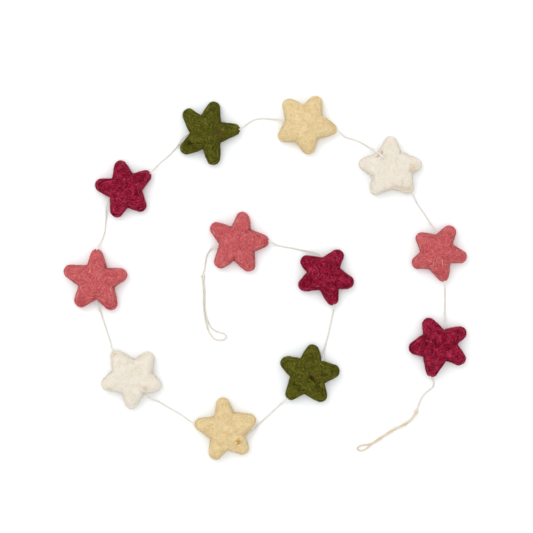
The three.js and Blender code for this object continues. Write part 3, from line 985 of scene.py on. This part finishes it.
def felt_material(felt):
    tones = {tone: (*color, 1) for tone, color in WOOL[felt].items()}
    material, tree, shader = new_material(felt + "_felt", WOOL[felt]["middle"], 0.95)
    place = add(tree, "ShaderNodeTexCoord", {}).outputs["Object"]
    patches = noise_at(tree, place, 130, 2.0).outputs[0]
    mottle = noise_at(tree, place, 640, 4.0, 0.8).outputs[0]
    light_hairs = strands(tree, place, 330, 0.035)
    dark_hairs = strands(tree, place, 470, 0.03)
    level = maths(tree, "ADD", maths(tree, "MULTIPLY", mottle, 0.65), maths(tree, "MULTIPLY", patches, 0.35))
    color = blend(tree, between(tree, level, 0.36, 0.5), tones["dark"], tones["middle"])
    color = blend(tree, between(tree, level, 0.5, 0.66), color, tones["light"])
    color = blend(tree, maths(tree, "MULTIPLY", light_hairs, 0.5), color, tones["light"])
    color = blend(tree, maths(tree, "MULTIPLY", dark_hairs, 0.45), color, tones["dark"])
    # Painted shade: the felt turns towards its dark tone in the creases and round the string's hole.
    crease = add(tree, "ShaderNodeAttribute", {}, attribute_name="crease").outputs["Fac"]
    color = blend(tree, between(tree, crease, 0.1, 1.6, 0.0, 0.75), color, tones["dark"])
    tree.links.new(color, shader.inputs["Base Color"])
    relief = maths(tree, "MULTIPLY", mottle, 1.2)
    relief = maths(tree, "ADD", relief, maths(tree, "MULTIPLY", light_hairs, 0.35))
    relief = maths(tree, "SUBTRACT", relief, maths(tree, "MULTIPLY", dark_hairs, 0.3))
    bump = add(tree, "ShaderNodeBump", {"Height": relief, "Strength": 0.6, "Distance": 0.35 * MM})
    tree.links.new(bump.outputs["Normal"], shader.inputs["Normal"])
    return material


# The cotton's darker and lighter colour, clean and yellowed, and the white of its painted highlight
CLEAN = (0.77, 0.725, 0.65, 1), (0.895, 0.855, 0.79, 1)
AGED = (0.77, 0.65, 0.49, 1), (0.9, 0.78, 0.61, 1)
HIGHLIGHT_WHITE = (0.97, 0.93, 0.9, 1)


def cotton_material():
    material, tree, shader = new_material("cotton_string", (0.72, 0.66, 0.56), 0.85, sheen=0.1)
    place = add(tree, "ShaderNodeTexCoord", {}).outputs["Object"]
    uneven = noise_at(tree, place, 300, 3.0).outputs[0]
    fine = noise_at(tree, place, 3200, 3.0, 1.0).outputs[0]
    level = maths(tree, "ADD", maths(tree, "MULTIPLY", uneven, 0.5), maths(tree, "MULTIPLY", fine, 0.5))
    level = between(tree, level, 0.35, 0.62)
    age = add(tree, "ShaderNodeAttribute", {}, attribute_name="age").outputs["Fac"]
    color = blend(tree, age, blend(tree, level, *CLEAN), blend(tree, level, *AGED))
    # Painted highlight: where the attribute is below 0 the cotton turns white.
    color = blend(tree, between(tree, age, 0.0, -1.0), color, HIGHLIGHT_WHITE)
    tree.links.new(color, shader.inputs["Base Color"])
    bump = add(tree, "ShaderNodeBump", {"Height": fine, "Strength": 0.5, "Distance": 0.12 * MM})
    tree.links.new(bump.outputs["Normal"], shader.inputs["Normal"])
    return material


for felt in WOOL:
    body = felt_material(felt)
    fibres = [new_material(felt + "_" + tone, WOOL[felt][tone], 0.9)[0] for tone in TONES]
    for star in STARS:
        if star["felt"] == felt:
            cushions[star["name"]].data.materials.append(body)
            for fibre in fibres:
                coats[star["name"]].data.materials.append(fibre)
cotton = cotton_material()
for piece in [string, *knots]:
    piece.data.materials.append(cotton)
for name, color in (("cotton_hairs", (0.84, 0.8, 0.735)), ("aged_hairs", (0.82, 0.7, 0.53))):
    hairs.data.materials.append(new_material(name, color, 0.9)[0])

# The floor and the light: an even white room with a soft window to the upper left
FLOOR_SIZE = 3
FLOOR_HEIGHT = -0.1 * MM
FLOOR_WHITE = (0.88, 0.9, 0.905)
ROOM_BRIGHTNESS = 1.16
WINDOW_SIZE = 1.0
WINDOW_POWER = 9
WINDOW_PLACE = (-0.9, 1.1, 1.7)

floor_mesh = bpy.data.meshes.new("floor")
corners = [(x * FLOOR_SIZE, y * FLOOR_SIZE, 0) for x, y in ((-1, -1), (1, -1), (1, 1), (-1, 1))]
floor_mesh.from_pydata(corners, [], [(0, 1, 2, 3)])
floor = bpy.data.objects.new("floor", floor_mesh)
floor.location.z = FLOOR_HEIGHT
floor_mesh.materials.append(new_material("floor", FLOOR_WHITE, 0.95)[0])
bpy.context.scene.collection.objects.link(floor)

world = bpy.data.worlds.new("world")
bpy.context.scene.world = world
world.use_nodes = True
world.node_tree.nodes["Background"].inputs["Color"].default_value = (1, 1, 1, 1)
world.node_tree.nodes["Background"].inputs["Strength"].default_value = ROOM_BRIGHTNESS
key = bpy.data.objects.new("key", bpy.data.lights.new("key", "AREA"))
key.data.size = WINDOW_SIZE
key.data.energy = WINDOW_POWER
key.location = WINDOW_PLACE
key.rotation_euler = (-key.location).to_track_quat("-Z", "Y").to_euler()
bpy.context.scene.collection.objects.link(key)
bpy.context.scene.view_settings.view_transform = "Standard"
